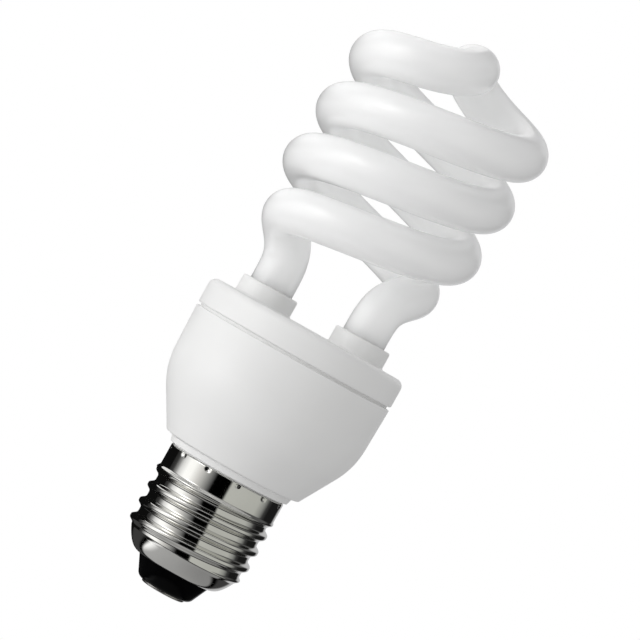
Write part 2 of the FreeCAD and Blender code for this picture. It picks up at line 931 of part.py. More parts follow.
def make_solder():
    """A small solder cone round every lead on the board's upper face."""
    cones = []
    for x, y, radius in drilled:
        base = Vector(x, y, board_top)
        cone = Part.makeCone(radius + solder_rim, radius + solder_rim / 5, solder_h, base)
        core = Part.makeCylinder(radius + solder_rim / 50, solder_h, base)
        cones.append(cone.cut(core))
    return Part.makeCompound(cones)


# All pieces

nodes["centre_contact"] = make_contact()
nodes["cap_insulator"] = make_insulator()
nodes["cap_shell"] = make_cap_shell()
nodes["lower_housing"] = make_lower_housing()
nodes["top_cover"] = make_top_cover()
nodes["spiral_tube"] = make_spiral_tube()
nodes["leg_cement_left"] = make_cement(-1)
nodes["leg_cement_right"] = make_cement(1)

hang("bulk_capacitor", *bulk_capacitor(), -0.316, -0.063)
hang_choke(0.368, 0, 90)
hang("start_capacitor", *film_capacitor(start_w, start_t, start_h), 0.21, 0.553)
hang("blocking_capacitor", *film_capacitor(blocking_w, blocking_t, blocking_h), -0.61, -0.453, 90)
hang_ring_transformer(-0.474, 0.474)
hang_filter_choke(-0.758, 0)
hang("transistor_low", *transistor(), -0.158, -0.5)
hang("transistor_high", *transistor(), 0.316, -0.5)
for index, (x, y) in enumerate(((-0.29, -0.668), (0.247, -0.668), (-0.29, -0.826), (0.247, -0.826))):
    hang("diode_%d" % (index + 1), *axial_part(diode_d, diode_l), x, y)
for index, angle in enumerate((-40, -3, 34, 102)):
    lying = axial_part(resistor_d, resistor_l, resistor_waist)
    hang("resistor_%d" % (index + 1), *lying, *ring_place(0.874, angle))
hang("trigger_diode", *axial_part(trigger_d, trigger_l), *ring_place(0.895, 68))

nodes["fuse_resistor"] = make_fuse_resistor(-0.079 * ledge_r, -0.363 * ledge_r)
nodes["shell_wire"] = make_shell_wire(0, 0.39 * ledge_r)

wrap_posts = []
for side, label in ((-1, "left"), (1, "right")):
    leads, posts = pinch_leads(side)
    wrap_posts += posts
    nodes["filament_lead_%s_front" % label] = leads[0]
    nodes["filament_lead_%s_back" % label] = leads[1]
nodes["wrap_posts"] = Part.makeCompound(wrap_posts)

nodes["circuit_board"] = make_board()
nodes["solder_joints"] = make_solder()

os.makedirs("parts", exist_ok=True)
for name, shape in nodes.items():
    shape.exportStep("parts/" + name + ".step")
    print(name, shape.isValid(), len(shape.Solids), round(shape.Volume, 1))
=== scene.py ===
# %% [markdown]
# # A spiral energy saving bulb
#
# The bulb is one long glass tube, lined with white powder and wound as a double spiral. Its two legs
# stand in a white plastic housing, the ballast sits inside, and a rolled screw cap closes the foot.
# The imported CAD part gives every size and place. This lesson dresses it: each piece that shows is made
# again with a smooth mesh and a finish of its own, and the hidden pieces keep their CAD mesh.

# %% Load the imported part
import math

import bpy
from mathutils import Matrix, Vector


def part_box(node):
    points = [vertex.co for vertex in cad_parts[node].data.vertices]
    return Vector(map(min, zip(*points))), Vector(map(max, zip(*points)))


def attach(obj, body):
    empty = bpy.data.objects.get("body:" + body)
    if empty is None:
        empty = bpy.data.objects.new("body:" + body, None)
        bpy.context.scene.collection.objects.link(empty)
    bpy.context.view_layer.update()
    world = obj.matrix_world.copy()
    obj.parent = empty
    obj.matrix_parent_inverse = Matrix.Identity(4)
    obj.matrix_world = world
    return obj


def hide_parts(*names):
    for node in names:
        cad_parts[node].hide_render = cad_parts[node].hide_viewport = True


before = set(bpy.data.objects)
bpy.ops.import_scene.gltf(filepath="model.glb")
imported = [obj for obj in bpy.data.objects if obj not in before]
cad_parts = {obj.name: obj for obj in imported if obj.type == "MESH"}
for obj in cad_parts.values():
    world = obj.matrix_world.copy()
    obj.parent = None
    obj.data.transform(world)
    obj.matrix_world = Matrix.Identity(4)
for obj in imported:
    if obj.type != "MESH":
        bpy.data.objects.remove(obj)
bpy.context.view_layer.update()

MM = 0.001
print("CAD nodes:", len(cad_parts))

# %% [markdown]
# ## Finishes from noise
#
# A real surface is never one flat value. Its colour drifts a little, its gloss is uneven and it has a
# fine grain. Painted image maps could show that, but noise read from the piece's own coordinates needs
# no files and no unwrapping. So every finish below is one shader, fed by a few noise fields.

# %% Start a finish and read noise from the piece
def start_finish(name):
    """A new material with one shader, and the tree to add nodes to."""
    finish = bpy.data.materials.new(name)
    finish.use_nodes = True
    tree = finish.node_tree
    tree.nodes.clear()
    output = tree.nodes.new("ShaderNodeOutputMaterial")
    shader = tree.nodes.new("ShaderNodeBsdfPrincipled")
    tree.links.new(shader.outputs["BSDF"], output.inputs["Surface"])
    return finish, tree, shader


def noise_field(tree, grain, stretch=(1, 1, 1), detail=3.0):
    """Noise from 0 to 1 over the piece, with grains of about this many millimetres."""
    place = tree.nodes.new("ShaderNodeTexCoord")
    mapping = tree.nodes.new("ShaderNodeMapping")
    mapping.inputs["Scale"].default_value = stretch
    noise = tree.nodes.new("ShaderNodeTexNoise")
    noise.inputs["Scale"].default_value = 1 / (grain * MM)
    noise.inputs["Detail"].default_value = detail
    tree.links.new(place.outputs["Object"], mapping.inputs["Vector"])
    tree.links.new(mapping.outputs["Vector"], noise.inputs["Vector"])
    return noise.outputs["Fac"]


# %% Let a noise field drive colour, gloss and grain
noise_low = 0.2
noise_high = 0.8


def vary_colour(tree, shader, field, first, second):
    """Drifts the base colour between two close colours."""
    ramp = tree.nodes.new("ShaderNodeValToRGB")
    ramp.color_ramp.interpolation = "EASE"
    ramp.color_ramp.elements[0].position = noise_low
    ramp.color_ramp.elements[1].position = noise_high
    ramp.color_ramp.elements[0].color = (*first, 1)
    ramp.color_ramp.elements[1].color = (*second, 1)
    tree.links.new(field, ramp.inputs["Fac"])
    tree.links.new(ramp.outputs["Color"], shader.inputs["Base Color"])


def vary_gloss(tree, shader, field, smooth, rough):
    """Drifts the roughness between two values."""
    spread = tree.nodes.new("ShaderNodeMapRange")
    spread.interpolation_type = "SMOOTHSTEP"
    spread.inputs["From Min"].default_value = noise_low
    spread.inputs["From Max"].default_value = noise_high
    spread.inputs["To Min"].default_value = smooth
    spread.inputs["To Max"].default_value = rough
    tree.links.new(field, spread.inputs["Value"])
    tree.links.new(spread.outputs["Result"], shader.inputs["Roughness"])


def add_grain(tree, shader, field, height, strength=1.0):
    """Raises and sinks the surface a little, by a height in millimetres."""
    bump = tree.nodes.new("ShaderNodeBump")
    bump.inputs["Strength"].default_value = strength
    bump.inputs["Distance"].default_value = height * MM
    tree.links.new(field, bump.inputs["Height"])
    tree.links.new(bump.outputs["Normal"], shader.inputs["Normal"])


# %% [markdown]
# ## Opal glass
#
# The tube is clear glass with phosphor powder on its inner wall, so it looks like milk glass: a white
# body under a clear gloss. It could be two shells with refraction, but then the render has to trace
# light through powder that nobody sees into. One white body with a clear coat looks the same, and it
# survives an export. The powder lies a little unevenly, so the white drifts in wide soft patches.

# %% Opal glass finish
opal_glass, tree, shader = start_finish("opal_glass")
powder = noise_field(tree, 14)
vary_colour(tree, shader, powder, (0.945, 0.95, 0.95), (0.96, 0.965, 0.96))
drawn = noise_field(tree, 12, detail=1.0)
vary_gloss(tree, shader, drawn, 0.29, 0.33)
add_grain(tree, shader, noise_field(tree, 9, detail=1.0), 0.01)
shader.inputs["IOR"].default_value = 1.5
shader.inputs["Subsurface Weight"].default_value = 1.0
shader.inputs["Subsurface Radius"].default_value = (1.0, 1.0, 1.0)
shader.inputs["Subsurface Scale"].default_value = 14.0 * MM
shader.inputs["Coat Weight"].default_value = 0.6
shader.inputs["Coat Roughness"].default_value = 0.15
print("finish:", opal_glass.name, len(tree.nodes), "nodes")

# %% [markdown]
# ## Moulded white plastic
#
# The housing and its lid are injection moulded. The mould is eroded by sparks, so the plastic has a
# very fine satin grain that spreads each highlight. A flat grey-white would look like paper, so the
# gloss drifts a little where the plastic cooled, and a fine grain breaks up the light.

# %% Moulded plastic finish
moulded_white, tree, shader = start_finish("moulded_white")
vary_colour(tree, shader, noise_field(tree, 18), (0.80, 0.80, 0.795), (0.835, 0.835, 0.83))
vary_gloss(tree, shader, noise_field(tree, 7), 0.40, 0.50)
add_grain(tree, shader, noise_field(tree, 0.35, detail=2.0), 0.012, 0.5)
print("finish:", moulded_white.name, len(tree.nodes), "nodes")

# %% [markdown]
# ## Nickel plate, black glass and contact metal
#
# The cap's shell is sheet brass, rolled and then plated with bright nickel. It works as a mirror, so
# most of its look comes from what stands round it. The rolls leave very fine lines that run round the
# shell: noise that is stretched flat draws them. The plug in the mouth is black glass, poured hot.

# %% Nickel plate finish
nickel_plate, tree, shader = start_finish("nickel_plate")
shader.inputs["Metallic"].default_value = 1.0
vary_colour(tree, shader, noise_field(tree, 6), (0.75, 0.745, 0.72), (0.80, 0.795, 0.77))
rolled = noise_field(tree, 2, stretch=(0.2, 0.2, 8.0))
vary_gloss(tree, shader, rolled, 0.05, 0.09)
add_grain(tree, shader, rolled, 0.002, 0.3)
print("finish:", nickel_plate.name, len(tree.nodes), "nodes")

# %% Black glass and contact finishes
black_glass, tree, shader = start_finish("black_glass")
shader.inputs["Specular IOR Level"].default_value = 0.06
vary_colour(tree, shader, noise_field(tree, 4), (0.0008, 0.0008, 0.0010), (0.0018, 0.0018, 0.0020))
vary_gloss(tree, shader, noise_field(tree, 2), 0.08, 0.18)
add_grain(tree, shader, noise_field(tree, 1.2), 0.02, 0.5)

contact_metal, tree, shader = start_finish("contact_metal")
shader.inputs["Metallic"].default_value = 1.0
vary_colour(tree, shader, noise_field(tree, 2), (0.42, 0.41, 0.40), (0.54, 0.53, 0.51))
vary_gloss(tree, shader, noise_field(tree, 1), 0.29, 0.42)
add_grain(tree, shader, noise_field(tree, 0.8), 0.02, 0.6)
print("finishes:", black_glass.name, contact_metal.name)

# %% [markdown]
# ## Small tools for Geometry Nodes
#
# The tube, the rolled thread and the two collars follow a rule, so Geometry Nodes make them. A tree
# is drawn node by node, and these few functions keep that short. Each tree has named inputs for its
# sizes. A modifier takes its values by socket identifier, and the result is kept as a plain mesh.

# %% Draw a tree
def feed(tree, socket, value):
    """Sets a socket to a number, or links it to another node's output."""
    if isinstance(value, bpy.types.NodeSocket):
        tree.links.new(value, socket)
    else:
        socket.default_value = value


def maths(tree, operation, *values):
    """One math node."""
    node = tree.nodes.new("ShaderNodeMath")
    node.operation = operation
    for socket, value in zip(node.inputs, values):
        feed(tree, socket, value)
    return node.outputs["Value"]


def fade(tree, value, low, high, first=0.0, last=1.0):
    """A soft step of a value, from first at low to last at high."""
    node = tree.nodes.new("ShaderNodeMapRange")
    node.interpolation_type = "SMOOTHSTEP"
    settings = {"Value": value, "From Min": low, "From Max": high, "To Min": first, "To Max": last}
    for label, number in settings.items():
        feed(tree, node.inputs[label], number)
    return node.outputs["Result"]


# %% Start, end and run a tree
def start_tree(name, sizes):
    """A tree with a geometry input and one named input for each size."""
    tree = bpy.data.node_groups.new(name, "GeometryNodeTree")
    tree.is_modifier = True
    tree.interface.new_socket("Geometry", in_out="INPUT", socket_type="NodeSocketGeometry")
    tree.interface.new_socket("Geometry", in_out="OUTPUT", socket_type="NodeSocketGeometry")
    kinds = {int: "NodeSocketInt", float: "NodeSocketFloat", bpy.types.Object: "NodeSocketObject"}
    for label, value in sizes.items():
        tree.interface.new_socket(label, in_out="INPUT", socket_type=kinds[type(value)])
    return tree, tree.nodes.new("NodeGroupInput").outputs


def end_tree(tree, geometry, finish):
    """Realizes what the tree made and gives it its finish."""
    realize = tree.nodes.new("GeometryNodeRealizeInstances")
    paint = tree.nodes.new("GeometryNodeSetMaterial")
    paint.inputs["Material"].default_value = finish
    tree.links.new(geometry, realize.inputs["Geometry"])
    tree.links.new(realize.outputs["Geometry"], paint.inputs["Geometry"])
    tree.links.new(paint.outputs["Geometry"], tree.nodes.new("NodeGroupOutput").inputs["Geometry"])


def run_tree(blank, tree, sizes, name):
    """Runs a tree on a blank and keeps the result as a new object with a plain mesh."""
    modifier = blank.modifiers.new(tree.name, "NODES")
    modifier.node_group = tree
    for item in tree.interface.items_tree:
        if item.in_out == "INPUT" and item.name in sizes:
            modifier[item.identifier] = sizes[item.name]
    depsgraph = bpy.context.evaluated_depsgraph_get()
    mesh = bpy.data.meshes.new_from_object(blank.evaluated_get(depsgraph), depsgraph=depsgraph)
    blank.modifiers.remove(modifier)
    bpy.data.objects.remove(blank)
    return show(name, mesh)


# %% Show a mesh and put it in a node's place
def show(name, mesh):
    """An object at the origin that shows this mesh."""
    mesh.name = name
    thing = bpy.data.objects.new(name, mesh)
    bpy.context.scene.collection.objects.link(thing)
    return thing


def smooth_over(piece, crease=30.0):
    """Smooth shading, except over edges sharper than the crease angle."""
    piece.data.shade_smooth()
    piece.data.set_sharp_from_angle(angle=math.radians(crease))


def put_in_place(piece, node):
    """Lets a finished piece stand for a CAD node, and prints how far their boxes differ."""
    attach(piece, "root")
    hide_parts(node)
    low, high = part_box(node)
    corners = [Vector(corner) for corner in piece.bound_box]
    off = max(
        max(abs(min(corner[axis] for corner in corners) - low[axis]) for axis in range(3)),
        max(abs(max(corner[axis] for corner in corners) - high[axis]) for axis in range(3)))
    print(piece.name, "faces:", len(piece.data.polygons), "box differs by mm:", round(off / MM, 2))


# %% [markdown]
# ## The spiral tube's path
#
# The glass is drawn through one curve. From each leg it rises, bends into the coil, climbs one and a
# half turns as a right-hand helix, and closes in an arch over the axis, where the two arms meet. The
# whole coil leans a little to the side and nods forward, as hand-fed glass does. A few formulas give
# the steering points, and a smooth spline runs between them.

# %% Sizes of the tube in millimetres
lid_top_z = 60.7
tube_d = 9.5
coil_r = 18.4
coil_pitch = 24.55
coil_turns = 1.5
coil_lean = math.radians(4.0)
coil_nod = math.radians(3.0)
coil_rise = 3.6
lean_z = lid_top_z + 12.7
leg_x = 10.7
knee_z = lid_top_z + 8.15
seal_z = 51.1
bend_from = 8.6
bend_into = 13.5
bend_angle = math.radians(55.0)
bridge_angle = math.radians(360 * coil_turns + 24.0)
bridge_arch = 3.9
coil_steps = 75
leg_steps = 5
bend_steps = 8


# %% Points of one arm
def coil_point(angle, side):
    """A point of the coil, leaned and nodded, for an angle along one arm."""
    closing = max(angle - bridge_angle, 0.0)
    lead = coil_pitch / (2 * math.pi)
    radius = side * coil_r * math.cos(closing)
    rise = coil_rise + lead * min(angle, bridge_angle)
    rise += lead * math.sin(closing) + bridge_arch * math.sin(closing) ** 4
    x = -radius * math.cos(angle)
    y = -radius * math.sin(angle)
    ahead = y * math.cos(coil_nod) - rise * math.sin(coil_nod)
    high = rise * math.cos(coil_nod) + y * math.sin(coil_nod)
    return Vector((
        x * math.cos(coil_lean) + high * math.sin(coil_lean),
        ahead,
        lean_z + high * math.cos(coil_lean) - x * math.sin(coil_lean)))


def arm_points(side):
    """Steering points from a leg's sealed end to the top of the arch."""
    last = bridge_angle + math.pi / 2
    stride = (last - bend_angle) / coil_steps
    coil = [coil_point(bend_angle + stride * step, side) for step in range(coil_steps + 1)]
    foot = Vector((-side * leg_x, 0, seal_z))
    knee = Vector((-side * leg_x, 0, knee_z))
    pull_up = knee + Vector((0, 0, bend_from))
    pull_in = coil[0] - (coil[1] - coil[0]).normalized() * bend_into
    leg = [foot.lerp(knee, step / leg_steps) for step in range(leg_steps)]
    bend = []
    for step in range(bend_steps):
        t = step / bend_steps
        s = 1 - t
        lower = knee * s ** 3 + pull_up * (3 * s * s * t)
        upper = pull_in * (3 * s * t * t) + coil[0] * t ** 3
        bend.append(lower + upper)
    return leg + bend + coil


# %% The path as one spline
path_points = arm_points(1) + arm_points(-1)[-2::-1]
path_data = bpy.data.curves.new("tube_path", "CURVE")
path_data.dimensions = "3D"
path_data.twist_mode = "MINIMUM"
path_data.resolution_u = 8
spline = path_data.splines.new("NURBS")
spline.points.add(len(path_points) - 1)
for point, place in zip(spline.points, path_points):
    point.co = (*(place * MM), 1)
spline.order_u = 4
spline.use_endpoint_u = True
tube_path = bpy.data.objects.new("tube_path", path_data)
bpy.context.scene.collection.objects.link(tube_path)
drawn_length = sum((second - first).length for first, second in zip(path_points, path_points[1:]))
print("tube path:", len(path_points), "steering points,", round(drawn_length), "mm long")

# %% [markdown]
# ## The spiral tube
#
# A round bevel on the curve would give a plain pipe. Here a Geometry Nodes tree sweeps a circle along
# the path and then pinches both ends flat, as the glass maker does when the tube is pumped out and
# sealed. The pinch is a rule too: below the seal the section narrows one way and less the other way.

# %% Sweep the tube and pinch its ends
tube_inset = 0.02
tube_sizes = {
    "Tube Radius": (tube_d / 2 - tube_inset) * MM,
    "Sides": 52,
    "Leg Place": leg_x * MM,
    "Pinch Bottom": 53.3 * MM,
    "Pinch Top": 55.2 * MM,
    "Pinch Thickness": 2.6 / tube_d,
    "Pinch Width": 7.4 / tube_d,
}
tree, size = start_tree("sweep_tube", tube_sizes)
circle = tree.nodes.new("GeometryNodeCurvePrimitiveCircle")
feed(tree, circle.inputs["Resolution"], size["Sides"])
feed(tree, circle.inputs["Radius"], size["Tube Radius"])
sweep = tree.nodes.new("GeometryNodeCurveToMesh")
feed(tree, sweep.inputs["Curve"], size["Geometry"])
feed(tree, sweep.inputs["Profile Curve"], circle.outputs["Curve"])
sweep.inputs["Fill Caps"].default_value = True
position = tree.nodes.new("GeometryNodeInputPosition")
parts = tree.nodes.new("ShaderNodeSeparateXYZ")
feed(tree, parts.inputs["Vector"], position.outputs["Position"])

# %% The pinch moves points towards the leg's middle
thick = fade(tree, parts.outputs["Z"], size["Pinch Bottom"], size["Pinch Top"], size["Pinch Thickness"])
wide = fade(tree, parts.outputs["Z"], size["Pinch Bottom"], size["Pinch Top"], size["Pinch Width"])
middle = maths(tree, "MULTIPLY", maths(tree, "SIGN", parts.outputs["X"]), size["Leg Place"])
pinched_x = maths(tree, "MULTIPLY_ADD", maths(tree, "SUBTRACT", parts.outputs["X"], middle), thick, middle)
pinched_y = maths(tree, "MULTIPLY", parts.outputs["Y"], wide)
pinched = tree.nodes.new("ShaderNodeCombineXYZ")
feed(tree, pinched.inputs["X"], pinched_x)
feed(tree, pinched.inputs["Y"], pinched_y)
feed(tree, pinched.inputs["Z"], parts.outputs["Z"])
press = tree.nodes.new("GeometryNodeSetPosition")
feed(tree, press.inputs["Geometry"], sweep.outputs["Mesh"])
feed(tree, press.inputs["Position"], pinched.outputs["Vector"])
end_tree(tree, press.outputs["Geometry"], opal_glass)

glass_spiral = run_tree(tube_path, tree, tube_sizes, "glass_spiral")
smooth_over(glass_spiral, 50)
put_in_place(glass_spiral, "spiral_tube")

# %% [markdown]
# ## Turned pieces
#
# Housing, lid, plug and contact are round about the bulb's axis. A Screw modifier could turn their
# outline, but small helpers give more say over the corners: every corner of the outline may carry a
# rounding, which becomes a short arc, and a thin support ring beside each arc keeps flat faces flat.

# %% Round the corners of an outline
def soften(corners, turn_step=9.0, support=0.12, least_steps=4):
    """Points of a closed outline of (radius, height, rounding) corners, with arcs for the roundings."""
    flat = [Vector(corner[:2]) for corner in corners]
    count = len(flat)
    support_room = 4 * support
    cuts = []
    for index, corner in enumerate(corners):
        back = flat[index - 1] - flat[index]
        ahead = flat[(index + 1) % count] - flat[index]
        rounding = corner[2] if len(corner) > 2 else 0.0
        cuts.append(rounding / math.tan(back.angle(ahead) / 2))
    points = []
    for index, corner in enumerate(corners):
        if cuts[index] == 0:
            points.append(flat[index])
            continue
        after = (index + 1) % count
        back = (flat[index - 1] - flat[index]).normalized()
        ahead = (flat[after] - flat[index]).normalized()
        first = flat[index] + back * cuts[index]
        last = flat[index] + ahead * cuts[index]
        centre = flat[index] + (back + ahead).normalized() * math.hypot(corner[2], cuts[index])
        begin = math.atan2(*(first - centre).yx)
        sweep = (math.atan2(*(last - centre).yx) - begin + math.pi) % (2 * math.pi) - math.pi
        steps = max(least_steps, round(abs(math.degrees(sweep)) / turn_step))
        free_back = (flat[index - 1] - flat[index]).length - cuts[index] - cuts[index - 1]
        free_ahead = (flat[after] - flat[index]).length - cuts[index] - cuts[after]
        if free_back > support_room:
            points.append(first + back * support)
        for step in range(steps + 1):
            angle = begin + sweep * step / steps
            points.append(centre + Vector((math.cos(angle), math.sin(angle))) * corner[2])
        if free_ahead > support_room:
            points.append(last + ahead * support)
    return points


# %% Turn an outline about the axis
on_axis = 1e-6


def turned(name, outline, sides, middle_x=0.0):
    """A mesh turned from a closed outline that runs up its outer side, in millimetres."""
    places = []
    rings = []
    for radius, height in outline:
        if radius < on_axis:
            rings.append([len(places)] * sides)
            places.append((middle_x * MM, 0, height * MM))
            continue
        rings.append([len(places) + side for side in range(sides)])
        for side in range(sides):
            angle = 2 * math.pi * side / sides
            place = Vector((middle_x + radius * math.cos(angle), radius * math.sin(angle), height))
            places.append(place * MM)
    faces = []
    for lower, upper in zip(rings, rings[1:] + rings[:1]):
        for side in range(sides):
            after = (side + 1) % sides
            face = list(dict.fromkeys((lower[side], lower[after], upper[after], upper[side])))
            if len(face) > 2:
                faces.append(face)
    mesh = bpy.data.meshes.new(name)
    mesh.from_pydata(places, [], faces)
    return mesh


# %% [markdown]
# ## Lower housing
#
# The cup is one moulding: a spigot goes down into the cap, a thin lip covers the cap's edge, and a
# cone swings in a wide bend into the upright wall. Inside, a ledge carries the circuit board. At the
# rim the wall steps in, and that step leaves the dark seam under the lid.

# %% Turn the lower housing
cap_edge_z = 27.6
lip_foot_z = 28.9
rim_z = 54.3
lid_z = 54.9
housing_r = 22.25
housing_sides = 160
rim_step = 0.75
cavity_r = 20.7
ledge_r = 19.0
ledge_foot_z = 38.9
board_z = 46.0
spigot_r = 12.4
spigot_bore = 10.9
spigot_foot_z = 22.9
lip_low_r = 13.45
lip_high_r = 13.8
cone_foot_r = 15.3
cone_foot_z = 29.25
swing_r = 21.84
swing_z = 40.6
swing_round = 17.0
cone_floor_r = 13.91
cone_floor_z = 30.05
throat_z = 28.4
housing_outline = [
    (spigot_bore, spigot_foot_z),
    (spigot_r, spigot_foot_z, 0.3),
    (spigot_r, cap_edge_z),
    (lip_low_r, cap_edge_z, 0.2),
    (lip_high_r, lip_foot_z, 0.2),
    (cone_foot_r, cone_foot_z, 0.4),
    (swing_r, swing_z, swing_round),
    (housing_r, rim_z, 0.2),
    (housing_r - rim_step, rim_z),
    (housing_r - rim_step, lid_z),
    (cavity_r, lid_z),
    (cavity_r, board_z),
    (ledge_r, board_z),
    (ledge_r, ledge_foot_z, 2.0),
    (cone_floor_r, cone_floor_z, 0.6),
    (spigot_bore, throat_z, 0.6),
]
cup_corners = soften(housing_outline, turn_step=3.0)
housing_cup = show("housing_cup", turned("housing_cup", cup_corners, housing_sides))
housing_cup.data.materials.append(moulded_white)
smooth_over(housing_cup)
put_in_place(housing_cup, "lower_housing")

# %% [markdown]
# ## Lid with its two collars
#
# The lid is a turned plate with a skirt that snaps into the cup. Two collars stand on it, one for each
# leg of the tube. The collars repeat, so a tree sets them on two points, joins them to the plate and
# then bores both for the glass. The quick boolean solver leaves broken seams on this lid, so the exact
# one is used, and a tiny weld closes them. A small mould radius stays at the foot of each collar.

# %% Turn the lid, one collar and one bore
plate_foot_z = 59.1
skirt_foot_z = 47.6
skirt_bore = 19.45
skirt_r = 20.55
collar_r = 6.2
collar_top = lid_top_z + 3.7
collar_root_z = 57.1
collar_spread = 0.42
collar_sides = 72
bore_r = 4.9
bore_low_z = 50
bore_high_z = 70
lid_outline = [
    (0, plate_foot_z),
    (skirt_bore, plate_foot_z, 0.8),
    (skirt_bore, skirt_foot_z),
    (skirt_r, skirt_foot_z, 0.3),
    (skirt_r, lid_z),
    (housing_r, lid_z, 0.4),
    (housing_r, lid_top_z, 1.6),
    (0, lid_top_z),
]
collar_outline = [
    (0, collar_root_z),
    (collar_r, collar_root_z),
    (collar_r, lid_top_z - 0.3),
    (collar_r + collar_spread, lid_top_z - 0.1),
    (collar_r, lid_top_z + 0.32, 0.3),
    (collar_r, collar_top, 0.5),
    (0, collar_top),
]
bore_outline = [(0, bore_low_z), (bore_r, bore_low_z), (bore_r, bore_high_z), (0, bore_high_z)]
lid_blank = show("lid_blank", turned("lid_blank", soften(lid_outline), housing_sides))
collar_blank = show("collar_blank", turned("collar_blank", soften(collar_outline), collar_sides))
bore_corners = [Vector(corner) for corner in bore_outline]
bore_blank = show("bore_blank", turned("bore_blank", bore_corners, collar_sides))

# %% Set the collars and bore them
lid_sizes = {
    "Collar": collar_blank,
    "Bore": bore_blank,
    "Leg Place": leg_x * MM,
    "Weld Gap": 0.001 * MM,
}
tree, size = start_tree("set_collars", lid_sizes)
start = tree.nodes.new("ShaderNodeCombineXYZ")
feed(tree, start.inputs["X"], maths(tree, "MULTIPLY", size["Leg Place"], -1.0))
stride = tree.nodes.new("ShaderNodeCombineXYZ")
feed(tree, stride.inputs["X"], maths(tree, "MULTIPLY", size["Leg Place"], 2.0))
legs = tree.nodes.new("GeometryNodeMeshLine")
legs.inputs["Count"].default_value = 2
feed(tree, legs.inputs["Start Location"], start.outputs["Vector"])
feed(tree, legs.inputs["Offset"], stride.outputs["Vector"])
body = size["Geometry"]
for label, operation in (("Collar", "UNION"), ("Bore", "DIFFERENCE")):
    shape = tree.nodes.new("GeometryNodeObjectInfo")
    feed(tree, shape.inputs["Object"], size[label])
    repeat = tree.nodes.new("GeometryNodeInstanceOnPoints")
    feed(tree, repeat.inputs["Points"], legs.outputs["Mesh"])
    feed(tree, repeat.inputs["Instance"], shape.outputs["Geometry"])
    solid = tree.nodes.new("GeometryNodeRealizeInstances")
    feed(tree, solid.inputs["Geometry"], repeat.outputs["Instances"])
    join = tree.nodes.new("GeometryNodeMeshBoolean")
    join.operation = operation
    join.solver = "EXACT"
    feed(tree, join.inputs["Mesh 2"], solid.outputs["Geometry"])
    feed(tree, join.inputs["Mesh 2" if operation == "UNION" else "Mesh 1"], body)
    body = join.outputs["Mesh"]
weld = tree.nodes.new("GeometryNodeMergeByDistance")
feed(tree, weld.inputs["Distance"], size["Weld Gap"])
feed(tree, weld.inputs["Geometry"], body)
end_tree(tree, weld.outputs["Geometry"], moulded_white)

collared_lid = run_tree(lid_blank, tree, lid_sizes, "collared_lid")
for blank in (collar_blank, bore_blank):
    bpy.data.objects.remove(blank)
smooth_over(collared_lid)
put_in_place(collared_lid, "top_cover")

# %% [markdown]
# ## Screw cap
#
# The shell starts as a smooth drawn cup of thin sheet. Rolls press the thread into it, and a row of
# punches then stakes its edge to the housing. The mesh follows the same order: a plain turned blank,
# then a tree that moves its points out along the helix and in at each punch. Modelling the thread
# as separate rings would look wrong from the side, because a thread climbs.

# %% Outline of the shell's blank
shell_z = 4.9
mouth_r = 8.0
shoulder_h = 4.2
shoulder_power = 2.2
thread_z = shell_z + shoulder_h
band_z = 22.4
band_run = 1.0
root_r = 12.2
band_r = 12.9
sheet = 0.35
edge_round = 0.3
pitch = 3.629
shell_top_z = cap_edge_z - 0.3


def blank_radius(height):
    """Outer radius of the drawn cup, before the thread is rolled."""
    reach = min((height - shell_z) / shoulder_h, 1.0) ** (1 / shoulder_power)
    widening = min(max((height - band_z + band_run) / band_run, 0.0), 1.0)
    band = (band_r - root_r) * widening * widening * (3 - 2 * widening)
    edge_rise = max(height - shell_top_z + edge_round, 0.0)
    edge_in = edge_round - math.sqrt(edge_round ** 2 - edge_rise ** 2)
    return mouth_r + (root_r - mouth_r) * reach + band - edge_in


turn_rows = 40
wound_rows = 208
wound_top = shell_top_z - edge_round
wound_low = wound_top - wound_rows * pitch / turn_rows
shoulder_steps = 20
low_reach = ((wound_low - shell_z) / shoulder_h) ** (1 / shoulder_power)
shoulder_heights = []
for step in range(shoulder_steps):
    reach = low_reach * step / shoulder_steps
    shoulder_heights.append(shell_z + shoulder_h * reach ** shoulder_power)
edge_steps = 6
edge_heights = []
for step in range(1, edge_steps + 1):
    edge_heights.append(wound_top + edge_round * math.sin(math.radians(90 * step / edge_steps)))
print("rows that climb start at mm:", round(wound_low, 2), "and end at mm:", round(wound_top, 2))

# %% [markdown]
# Level rings would cross the thread at a slant, and a mirror finish shows each crossing as a small
# step in the light. So the rows of the threaded part climb by one pitch in a turn, like the thread.
# After a turn each row meets the row above it, and at both ends the rows run out on a level ring.

# %% Points and faces of the shell's blank
shell_sides = 300
shell_places = []
shell_faces = []


def shell_point(radius, height, side):
    """Adds a point and gives its number."""
    angle = 2 * math.pi * side / shell_sides
    shell_places.append(Vector((radius * math.cos(angle), radius * math.sin(angle), height)) * MM)
    return len(shell_places) - 1


def level_ring(radius, height):
    """Adds a level ring of points and gives their numbers."""
    return [shell_point(radius, height, side) for side in range(shell_sides)]


def join_lines(first, second):
    """Adds faces between two lines of points, and leaves out those that have run out."""
    for index in range(len(first) - 1):
        corners = (first[index], first[index + 1], second[index + 1], second[index])
        face = list(dict.fromkeys(corners))
        if len(face) > 2:
            shell_faces.append(face)


# %% Rows that climb with the thread
low_ring = level_ring(blank_radius(wound_low), wound_low)
top_ring = level_ring(blank_radius(wound_top), wound_top)
columns = []
for side in range(shell_sides):
    column = []
    for row in range(wound_rows + turn_rows + 1):
        level = row - turn_rows + turn_rows * side / shell_sides
        if level <= 0:
            column.append(low_ring[side])
        elif level >= wound_rows:
            column.append(top_ring[side])
        else:
            height = wound_low + level * pitch / turn_rows
            column.append(shell_point(blank_radius(height), height, side))
    columns.append(column)
columns.append(columns[0][turn_rows:] + [top_ring[0]] * turn_rows)
for left, right in zip(columns, columns[1:]):
    join_lines(right, left)

